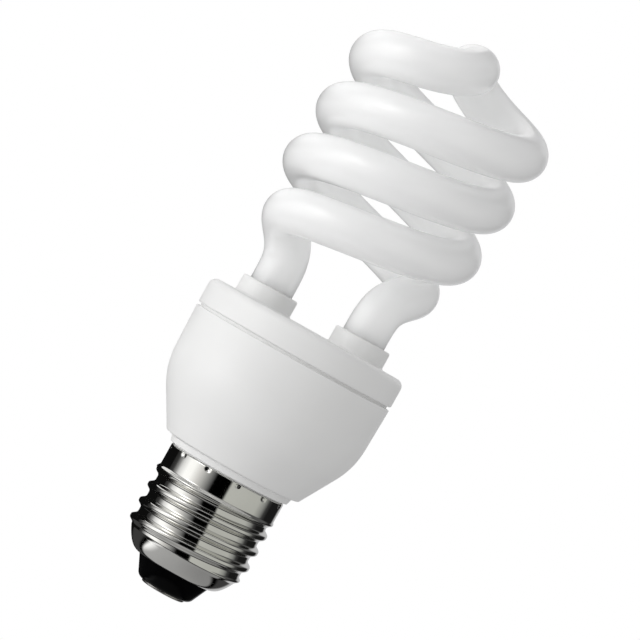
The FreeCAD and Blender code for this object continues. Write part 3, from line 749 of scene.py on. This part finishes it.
# %% Level rings for the shoulder, the rounded edge and the inner face
lower_rings = [level_ring(blank_radius(height), height) for height in shoulder_heights]
upper_rings = [level_ring(blank_radius(height), height) for height in edge_heights]
inner_steps = 28
inner_stride = 4
for step in range(inner_steps + 1):
    height = shell_top_z - (shell_top_z - thread_z) * step / inner_steps
    upper_rings.append(level_ring(blank_radius(min(height, wound_top)) - sheet, height))
for height in shoulder_heights[-inner_stride::-inner_stride]:
    upper_rings.append(level_ring(blank_radius(height) - sheet / 2, height + sheet))
level_rings = [top_ring] + upper_rings + lower_rings + [low_ring]
for lower, upper in zip(level_rings, level_rings[1:]):
    join_lines(lower + lower[:1], upper + upper[:1])

shell_mesh = bpy.data.meshes.new("shell_blank")
shell_mesh.from_pydata(shell_places, [], shell_faces)
shell_blank = show("shell_blank", shell_mesh)
print("shell blank:", len(shell_faces), "faces")

# %% Roll the thread
shell_sizes = {
    "Thread Bottom": thread_z * MM,
    "Thread Top": band_z * MM,
    "Crest Start": 12.366 * MM,
    "Pitch": pitch * MM,
    "Thread Depth": 1.025 * MM,
    "Run Out": 0.75 * MM,
    "Root Flatness": 2.6,
    "Crest Roundness": 2.0,
    "Dimples": 12,
    "First Dimple": math.radians(12.8 - 90.0),
    "Dimple Height": (cap_edge_z - 0.8) * MM,
    "Dimple Radius": 0.62 * MM,
    "Dimple Depth": 0.28 * MM,
}
tree, size = start_tree("roll_shell", shell_sizes)
position = tree.nodes.new("GeometryNodeInputPosition")
parts = tree.nodes.new("ShaderNodeSeparateXYZ")
feed(tree, parts.inputs["Vector"], position.outputs["Position"])
height = parts.outputs["Z"]
angle = maths(tree, "ARCTAN2", parts.outputs["Y"], parts.outputs["X"])
climb = maths(tree, "DIVIDE", maths(tree, "SUBTRACT", height, size["Crest Start"]), size["Pitch"])
phase = maths(tree, "SUBTRACT", maths(tree, "MULTIPLY", climb, 2 * math.pi), angle)
crest = maths(tree, "MULTIPLY_ADD", maths(tree, "COSINE", phase), 0.5, 0.5)
flank = maths(tree, "SUBTRACT", 1.0, maths(tree, "POWER", crest, size["Root Flatness"]))
crest = maths(tree, "SUBTRACT", 1.0, maths(tree, "POWER", flank, size["Crest Roundness"]))
rising = fade(
    tree, height,
    maths(tree, "SUBTRACT", size["Thread Bottom"], size["Run Out"]),
    maths(tree, "ADD", size["Thread Bottom"], size["Run Out"]))
ending = fade(
    tree, height,
    maths(tree, "SUBTRACT", size["Thread Top"], size["Run Out"]),
    maths(tree, "ADD", size["Thread Top"], size["Run Out"]), 1.0, 0.0)
lift = maths(tree, "MULTIPLY", crest, size["Thread Depth"])
thread = maths(tree, "MULTIPLY", lift, maths(tree, "MULTIPLY", rising, ending))

# %% Punch the dimples and move the points
spacing = maths(tree, "DIVIDE", 2 * math.pi, size["Dimples"])
half = maths(tree, "MULTIPLY", spacing, 0.5)
from_first = maths(tree, "SUBTRACT", angle, size["First Dimple"])
beside = maths(tree, "WRAP", from_first, half, maths(tree, "MULTIPLY", half, -1.0))
beside = maths(tree, "MULTIPLY", beside, band_r * MM)
above = maths(tree, "SUBTRACT", height, size["Dimple Height"])
spread = maths(tree, "ADD", maths(tree, "MULTIPLY", beside, beside), maths(tree, "MULTIPLY", above, above))
share = maths(tree, "DIVIDE", spread, maths(tree, "MULTIPLY", size["Dimple Radius"], size["Dimple Radius"]))
dent = maths(tree, "MAXIMUM", maths(tree, "SUBTRACT", 1.0, share), 0.0)
move = maths(tree, "SUBTRACT", thread, maths(tree, "MULTIPLY", dent, size["Dimple Depth"]))
outward = tree.nodes.new("ShaderNodeCombineXYZ")
feed(tree, outward.inputs["X"], maths(tree, "MULTIPLY", maths(tree, "COSINE", angle), move))
feed(tree, outward.inputs["Y"], maths(tree, "MULTIPLY", maths(tree, "SINE", angle), move))
roll = tree.nodes.new("GeometryNodeSetPosition")
feed(tree, roll.inputs["Geometry"], size["Geometry"])
feed(tree, roll.inputs["Offset"], outward.outputs["Vector"])
end_tree(tree, roll.outputs["Geometry"], nickel_plate)

screw_shell = run_tree(shell_blank, tree, shell_sizes, "screw_shell")
smooth_over(screw_shell, 40)
put_in_place(screw_shell, "cap_shell")

# %% [markdown]
# ## Plug and end contact
#
# Hot black glass is poured into the shell's mouth, so the plug fills the shoulder from inside and
# shows as a short dark cone below it. A round contact is set in its tip. Both are turned, with small
# roundings: sharp edges on glass and pressed metal would catch no light and look drawn.

# %% Turn the plug
contact_h = 0.45
plug_foot_r = 5.85
plug_edge = 1.6
plug_bore = 1.2
plug_top_z = 7.8
plug_r = mouth_r - 0.05
cap_sides = 96
seat_steps = 24
seat_reached = 15
seat_gap = 0.12
seat_lift = 0.42
seat_points = []
for step in range(1, seat_reached + 1):
    reach = step / seat_steps
    seat_r = mouth_r + (root_r - mouth_r) * reach - seat_gap
    seat_points.append((seat_r, shell_z + shoulder_h * reach ** shoulder_power + seat_lift))
plug_outline = [
    (plug_bore, contact_h),
    (plug_foot_r, contact_h, plug_edge),
    (plug_r, shell_z),
    (plug_r, shell_z + 0.4),
    *seat_points,
    (seat_points[-1][0], plug_top_z),
    (plug_bore, plug_top_z),
]
glass_plug = show("glass_plug", turned("glass_plug", soften(plug_outline), cap_sides))
glass_plug.data.materials.append(black_glass)
smooth_over(glass_plug)
put_in_place(glass_plug, "cap_insulator")

# %% Turn the contact
contact_r = 4.8
contact_outline = [(0, 0), (contact_r, 0, 0.25), (contact_r, contact_h), (0, contact_h)]
end_contact = show("end_contact", turned("end_contact", soften(contact_outline), cap_sides))
end_contact.data.materials.append(contact_metal)
smooth_over(end_contact)
put_in_place(end_contact, "centre_contact")

# %% [markdown]
# ## Finishes inside the housing
#
# The ballast is closed in, so its pieces keep their CAD mesh. They still get a true finish each, for
# anyone who opens the part: brown paper board, bright solder, dark ferrite, lacquered copper, and the
# usual skins of small components. One maker covers them, with two colours, a gloss range and a grain.

# %% One maker for the inner finishes
def inner_finish(name, first, second, gloss, grain, metal=0.0):
    """A finish with drifting colour, uneven gloss and a fine grain of this many millimetres."""
    finish, tree, shader = start_finish(name)
    shader.inputs["Metallic"].default_value = metal
    vary_colour(tree, shader, noise_field(tree, 4 * grain), first, second)
    vary_gloss(tree, shader, noise_field(tree, 2 * grain), *gloss)
    add_grain(tree, shader, noise_field(tree, grain), grain / 20, 0.5)
    return finish


def give(finish, *names):
    """Gives a finish to CAD nodes, in their own material slots."""
    for name in names:
        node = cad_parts[name]
        if not node.material_slots:
            node.data.materials.append(None)
        for holder in node.material_slots:
            holder.material = finish
    print(finish.name, "on", len(names), "pieces")


# %% Board, wires and cement
give(
    inner_finish("leg_cement", (0.62, 0.60, 0.55), (0.74, 0.72, 0.67), (0.75, 0.95), 0.6),
    "leg_cement_left", "leg_cement_right")
give(inner_finish("paper_board", (0.30, 0.19, 0.09), (0.38, 0.25, 0.13), (0.45, 0.65), 0.5), "circuit_board")
give(inner_finish("solder", (0.52, 0.52, 0.53), (0.68, 0.68, 0.69), (0.29, 0.44), 0.3, 1.0), "solder_joints")
give(
    inner_finish("tinned_wire", (0.60, 0.60, 0.61), (0.74, 0.74, 0.75), (0.29, 0.38), 0.3, 1.0),
    "wrap_posts", "shell_wire", "choke_pins",
    "filament_lead_left_front", "filament_lead_left_back",
    "filament_lead_right_front", "filament_lead_right_back")

# %% Chokes and transformer
give(
    inner_finish("ferrite", (0.035, 0.034, 0.036), (0.06, 0.058, 0.06), (0.55, 0.75), 0.4),
    "choke_core", "ring_core", "filter_choke_core")
give(
    inner_finish("lacquered_copper", (0.42, 0.15, 0.06), (0.60, 0.25, 0.11), (0.29, 0.42), 0.3, 1.0),
    "choke_winding", "ring_windings", "filter_choke_winding")
give(
    inner_finish("bobbin_plastic", (0.02, 0.02, 0.02), (0.04, 0.04, 0.04), (0.40, 0.55), 0.5),
    "choke_bobbin")

# %% Small components
give(inner_finish("can_sleeve", (0.02, 0.03, 0.08), (0.03, 0.05, 0.12), (0.29, 0.42), 0.8), "bulk_capacitor")
give(
    inner_finish("film_resin", (0.40, 0.11, 0.05), (0.50, 0.16, 0.08), (0.30, 0.45), 0.7),
    "start_capacitor", "blocking_capacitor")
give(
    inner_finish("black_resin", (0.015, 0.015, 0.016), (0.03, 0.03, 0.03), (0.50, 0.70), 0.3),
    "transistor_low", "transistor_high", "diode_1", "diode_2", "diode_3", "diode_4")
give(
    inner_finish("resistor_paint", (0.56, 0.42, 0.26), (0.66, 0.51, 0.34), (0.35, 0.50), 0.4),
    "resistor_1", "resistor_2", "resistor_3", "resistor_4", "fuse_resistor")
give(
    inner_finish("trigger_glass", (0.06, 0.12, 0.22), (0.10, 0.18, 0.30), (0.10, 0.20), 0.4),
    "trigger_diode")

# %% [markdown]
# ## Studio: a white room
#
# The bulb is shown on plain white, with no shadow under it. A white floor lies a little below it, and
# a white dome stands far off. Lamps on them would wash out the white bulb as well, so they glow by
# themselves, and only the camera's rays meet them: the bulb neither reflects them nor is lit by them.

# %% White floor and dome
bpy.context.scene.view_settings.view_transform = "Standard"


def glowing(name, strength):
    """A plain white material that gives its own light."""
    finish = bpy.data.materials.new(name)
    finish.use_nodes = True
    tree = finish.node_tree
    tree.nodes.clear()
    output = tree.nodes.new("ShaderNodeOutputMaterial")
    glow = tree.nodes.new("ShaderNodeEmission")
    glow.inputs["Strength"].default_value = strength
    tree.links.new(glow.outputs["Emission"], output.inputs["Surface"])
    return finish, tree, glow


def seen_by(thing, camera, reflections):
    """Chooses which rays meet a piece of the stage. It throws no shadow and lights nothing else."""
    thing.visible_camera = camera
    thing.visible_glossy = reflections
    thing.visible_diffuse = False
    thing.visible_shadow = False
    thing.visible_transmission = False


room_r = 6000
floor_z = -40
floor_t = 5
stage_sides = 96
dome_step = 6
white_paper = glowing("white_paper", 1.0)[0]
floor_outline = [(0, floor_z - floor_t), (room_r, floor_z - floor_t), (room_r, floor_z), (0, floor_z)]
floor = show("floor", turned("floor", floor_outline, stage_sides))
dome_outline = []
for degrees in range(-90, 91, dome_step):
    rise = math.radians(degrees)
    dome_outline.append((room_r * math.cos(rise), room_r * math.sin(rise)))
dome = show("dome", turned("dome", dome_outline, stage_sides))
for sheet_piece in (floor, dome):
    sheet_piece.data.materials.append(white_paper)
    seen_by(sheet_piece, camera=True, reflections=False)
print("stage:", floor.name, dome.name)

# %% [markdown]
# ## Cards for the mirror
#
# Bright nickel shows only what stands round it, so a photographer sets up cards: a bright screen at the
# left, a grey card at the right, and black in front and behind. Pale cloth hangs above them, and a grey
# table lies below. A window in the left screen gives the glass a soft highlight, and a pale strip in
# the black at the back lights the thread's right edge. One tall cylinder carries all of this. Its glow
# is chosen by the angle round the bulb and by the height in metres, and reflections alone see it.

# %% Colours of the cards, by the angle from the camera's side
card_stops = [
    (-180, (0.0, 0.0, 0.0)),
    (-120, (0.0, 0.0, 0.0)),
    (-102, (0.05, 0.05, 0.05)),
    (-93, (0.34, 0.34, 0.34)),
    (-86, (0.82, 0.82, 0.82)),
    (-72, (1.28, 1.28, 1.27)),
    (-60, (1.25, 1.25, 1.23)),
    (-43, (0.75, 0.74, 0.72)),
    (-31, (0.42, 0.42, 0.41)),
    (-20, (0.14, 0.14, 0.14)),
    (-14, (0.0, 0.0, 0.0)),
    (13, (0.0, 0.0, 0.0)),
    (17, (0.56, 0.565, 0.53)),
    (80, (0.51, 0.515, 0.48)),
    (94, (0.30, 0.305, 0.29)),
    (104, (0.05, 0.05, 0.05)),
    (114, (0.012, 0.012, 0.012)),
    (180, (0.012, 0.012, 0.012)),
]
cloth_stops = [
    (-180, (0.9, 0.9, 0.9)),
    (-120, (0.9, 0.9, 0.9)),
    (-95, (0.4, 0.4, 0.4)),
    (-30, (0.4, 0.4, 0.4)),
    (-10, (0.14, 0.14, 0.14)),
    (8, (0.14, 0.14, 0.14)),
    (28, (0.34, 0.34, 0.33)),
    (58, (0.30, 0.30, 0.29)),
    (85, (0.10, 0.10, 0.10)),
    (180, (0.10, 0.10, 0.10)),
]


def colour_round(tree, turn, stops):
    """A colour by the angle from the camera's side, between stops of degrees and colour."""
    ramp = tree.nodes.new("ShaderNodeValToRGB")
    feed(tree, ramp.inputs["Fac"], maths(tree, "MULTIPLY_ADD", turn, 0.5 / math.pi, 0.5))
    marks = ramp.color_ramp.elements
    marks.remove(marks[1])
    for index, (degrees, colour) in enumerate(stops):
        mark = marks[0] if index == 0 else marks.new(degrees / 360 + 0.5)
        mark.position = degrees / 360 + 0.5
        mark.color = (*colour, 1)
    return ramp.outputs["Color"]


card_finish, tree, glow = glowing("reflection_cards", 1.0)
place = tree.nodes.new("ShaderNodeTexCoord")
parts = tree.nodes.new("ShaderNodeSeparateXYZ")
feed(tree, parts.inputs["Vector"], place.outputs["Object"])
turn = maths(tree, "ARCTAN2", parts.outputs["X"], maths(tree, "MULTIPLY", parts.outputs["Y"], -1.0))
card = colour_round(tree, turn, card_stops)
cloth = colour_round(tree, turn, cloth_stops)
print("cards:", len(card_stops), "stops, cloth:", len(cloth_stops), "stops round the bulb")


# %% Cloth over the cards, dark wall under them, window in the left screen
def mixed(tree, share, first, second):
    """A colour that goes from the first to the second with the share."""
    node = tree.nodes.new("ShaderNodeMix")
    node.data_type = "RGBA"
    for label, value in (("Factor", share), ("A", first), ("B", second)):
        feed(tree, next(socket for socket in node.inputs if socket.name == label and socket.enabled), value)
    return next(socket for socket in node.outputs if socket.enabled)


def fade_round(tree, turn, low, high, first=0.0, last=1.0):
    """A soft step by the angle from the camera's side, between two angles in degrees."""
    return fade(tree, turn, math.radians(low), math.radians(high), first, last)


cloth_hem = 0.8
cloth_hem_left = 0.12
cloth_drop_right = 0.45
cloth_blend = 0.4
wall_grey = (0.05, 0.05, 0.05, 1)
strip_grey = (0.55, 0.55, 0.56, 1)
window_degrees = -52
window_z = 0.5
window_glow = 2.6
card_z = parts.outputs["Z"]
left_low = fade_round(tree, turn, -95, -120, cloth_hem, cloth_hem_left)
right_drop = fade_round(tree, turn, 40, 80, 0.0, cloth_drop_right)
cloth_low = maths(tree, "SUBTRACT", left_low, right_drop)
cloth_high = maths(tree, "ADD", cloth_low, cloth_blend)
colour = mixed(tree, fade(tree, card_z, cloth_low, cloth_high), card, cloth)
colour = mixed(tree, fade(tree, card_z, -0.25, -0.5), colour, wall_grey)
strip_side = fade_round(tree, turn, 146, 160)
strip_rise = fade(tree, maths(tree, "ABSOLUTE", card_z), 0.6, 0.9, 1.0, 0.0)
colour = mixed(tree, maths(tree, "MULTIPLY", strip_side, strip_rise), colour, strip_grey)
feed(tree, glow.inputs["Color"], colour)
from_window = maths(tree, "ABSOLUTE", maths(tree, "SUBTRACT", turn, math.radians(window_degrees)))
window_side = fade_round(tree, from_window, 3, 20, 1.0, 0.0)
from_middle = maths(tree, "ABSOLUTE", maths(tree, "SUBTRACT", card_z, window_z))
window_rise = fade(tree, from_middle, 0.05, 0.35, 1.0, 0.0)
window = maths(tree, "MULTIPLY", maths(tree, "MULTIPLY", window_side, window_rise), window_glow)
feed(tree, glow.inputs["Strength"], maths(tree, "ADD", window, fade(tree, card_z, -0.98, -0.82)))
card_r = 1200
card_sides = 180
table_z = -1000
cloth_top = 6000
card_outline = [(card_r, table_z), (card_r + 1, table_z), (card_r + 1, cloth_top), (card_r, cloth_top)]
cards = show("cards", turned("cards", card_outline, card_sides))
cards.data.materials.append(card_finish)
seen_by(cards, camera=False, reflections=True)
print("cards stand", card_r, "mm from the axis")

# %% [markdown]
# The glass should mirror bright cloth behind the bulb, but the cap's left edge should stay black. Far
# cards can't do both, because both pieces look in the same directions. A black flag can, when it stands
# so close that the cap sees it and the glass looks over it.

# %% Black flag close beside the cap
flag_r = 30
flag_z = (0, 32)
flag_from = -176
flag_to = -92
flag_step = 4
flag_glow = 0.005
flag_places = []
for degrees in range(flag_from, flag_to + 1, flag_step):
    around = math.radians(degrees)
    for height in flag_z:
        flag_places.append(Vector((flag_r * math.sin(around), -flag_r * math.cos(around), height)) * MM)
flag_faces = [(index, index + 2, index + 3, index + 1) for index in range(0, len(flag_places) - 2, 2)]
flag_mesh = bpy.data.meshes.new("flag")
flag_mesh.from_pydata(flag_places, [], flag_faces)
flag = show("flag", flag_mesh)
flag.data.materials.append(glowing("flag_black", flag_glow)[0])
seen_by(flag, camera=False, reflections=True)
print("flag:", len(flag_faces), "faces")

# %% Grey table that the cap's shoulder reflects, with painted light in its glow
table_edge = (0.95, 1.15)
table_glow_left = 0.46
table_glow_right = 0.28
screen_glow = 0.8
table_finish, tree, glow = glowing("table_grey", 1.0)
place = tree.nodes.new("ShaderNodeTexCoord")
parts = tree.nodes.new("ShaderNodeSeparateXYZ")
feed(tree, parts.inputs["Vector"], place.outputs["Object"])
reach = tree.nodes.new("ShaderNodeVectorMath")
reach.operation = "DISTANCE"
feed(tree, reach.inputs[0], place.outputs["Object"])
reach.inputs[1].default_value = (0, 0, table_z * MM)
lit = fade(tree, reach.outputs["Value"], *table_edge, 1.0, 0.0)
# Painted light: the table's glow is brighter at the left, where the screen's light falls, and darker to the
# right. A painted pool of light lies at the foot of the left screen.
painted_falloff = fade(tree, parts.outputs["X"], -0.8, 0.8, table_glow_left, table_glow_right)
painted_screen_pool = fade(tree, parts.outputs["X"], -1.0, -0.65, screen_glow, 0.0)
feed(tree, glow.inputs["Strength"], maths(tree, "MULTIPLY", lit, maths(tree, "ADD", painted_falloff, painted_screen_pool)))
table_outline = [(0, table_z - 1), (card_r, table_z - 1), (card_r, table_z), (0, table_z)]
table = show("table", turned("table", table_outline, stage_sides))
table.data.materials.append(table_finish)
seen_by(table, camera=False, reflections=True)
print("table:", table.name)

# %% [markdown]
# ## Soft light
#
# White pieces need light with a direction, or they look flat. Even air from the world fills the
# shadows. A large lamp at the left models the round forms, a weak one behind it lifts the left edge,
# and one from behind at the right keeps the far side apart from the white room. The lamps are hidden
# from reflections, which the cards already make.

# %% World and soft lamps
air_strength = 0.63
world = bpy.data.worlds.new("studio_air")
world.use_nodes = True
air = world.node_tree.nodes["Background"]
air.inputs["Color"].default_value = (1.0, 1.0, 1.0, 1.0)
air.inputs["Strength"].default_value = air_strength
bpy.context.scene.world = world

bulb_middle_z = 64
bulb_middle = Vector((0, 0, bulb_middle_z * MM))


def hang(light, place):
    """Hangs a lamp that neither the camera nor reflections see."""
    lamp = bpy.data.objects.new(light.name, light)
    lamp.location = place
    lamp.visible_camera = False
    lamp.visible_glossy = False
    bpy.context.scene.collection.objects.link(lamp)
    return lamp


def soft_lamp(name, azimuth, elevation, distance, width, height, power):
    """An area lamp aimed at the bulb. Azimuth runs from the camera's side, to the right."""
    turn = math.radians(azimuth)
    rise = math.radians(elevation)
    aim = Vector((math.sin(turn) * math.cos(rise), -math.cos(turn) * math.cos(rise), math.sin(rise)))
    light = bpy.data.lights.new(name, "AREA")
    light.shape = "RECTANGLE"
    light.size = width
    light.size_y = height
    light.energy = power
    hang(light, bulb_middle + aim * distance).rotation_euler = aim.to_track_quat("Z", "Y").to_euler()


lamp_distance = 1.2
soft_lamp("left_screen", -58, 2, lamp_distance, width=0.6, height=0.7, power=6.3)
soft_lamp("left_rim", -112, 0, lamp_distance, width=0.5, height=0.7, power=1.5)
soft_lamp("back_light", 155, 28, lamp_distance, width=0.8, height=0.8, power=4.0)
print("world strength:", air_strength)

# %% [markdown]
# The powder in the tube lets some light through, so the inside of a real coil is not as dark as the
# shadow between solid white rods. Three faint lamps inside the coil, nearer to its bright left side,
# stand for that light. A change of their power shows first on the strands at the back.

# %% Faint lamps inside the coil
glow_x = -7
glow_heights = (84, 96, 108)
glow_radius = 5
glow_power = 0.0003
for height in glow_heights:
    light = bpy.data.lights.new("coil_glow", "POINT")
    light.energy = glow_power
    light.shadow_soft_size = glow_radius * MM
    hang(light, Vector((glow_x, 0, height)) * MM)
print("lamps inside the coil:", len(glow_heights))

# %% [markdown]
# ## Camera
#
# The photograph shows the bulb from the side, tipped by 29 degrees in the picture. Tipping the bulb
# would break its frame, so the camera is rolled instead. It stands well back with a long lens, as
# product pictures are made, so that the round pieces are hardly widened by perspective.

# %% Place the camera
roll_angle = math.radians(29.2)
camera_place = (0.0011, -0.600, 0.0635)
camera_data = bpy.data.cameras.new("camera")
camera_data.lens = 166.7
camera_data.sensor_width = 36.0
camera = bpy.data.objects.new("camera", camera_data)
right = Vector((math.cos(roll_angle), 0, math.sin(roll_angle)))
upward = Vector((-math.sin(roll_angle), 0, math.cos(roll_angle)))
toward = Vector((0, -1, 0))
turned_camera = Matrix((right, upward, toward)).transposed().to_4x4()
camera.matrix_world = Matrix.Translation(camera_place) @ turned_camera
bpy.context.scene.collection.objects.link(camera)
bpy.context.scene.camera = camera
print("camera at", camera_place)
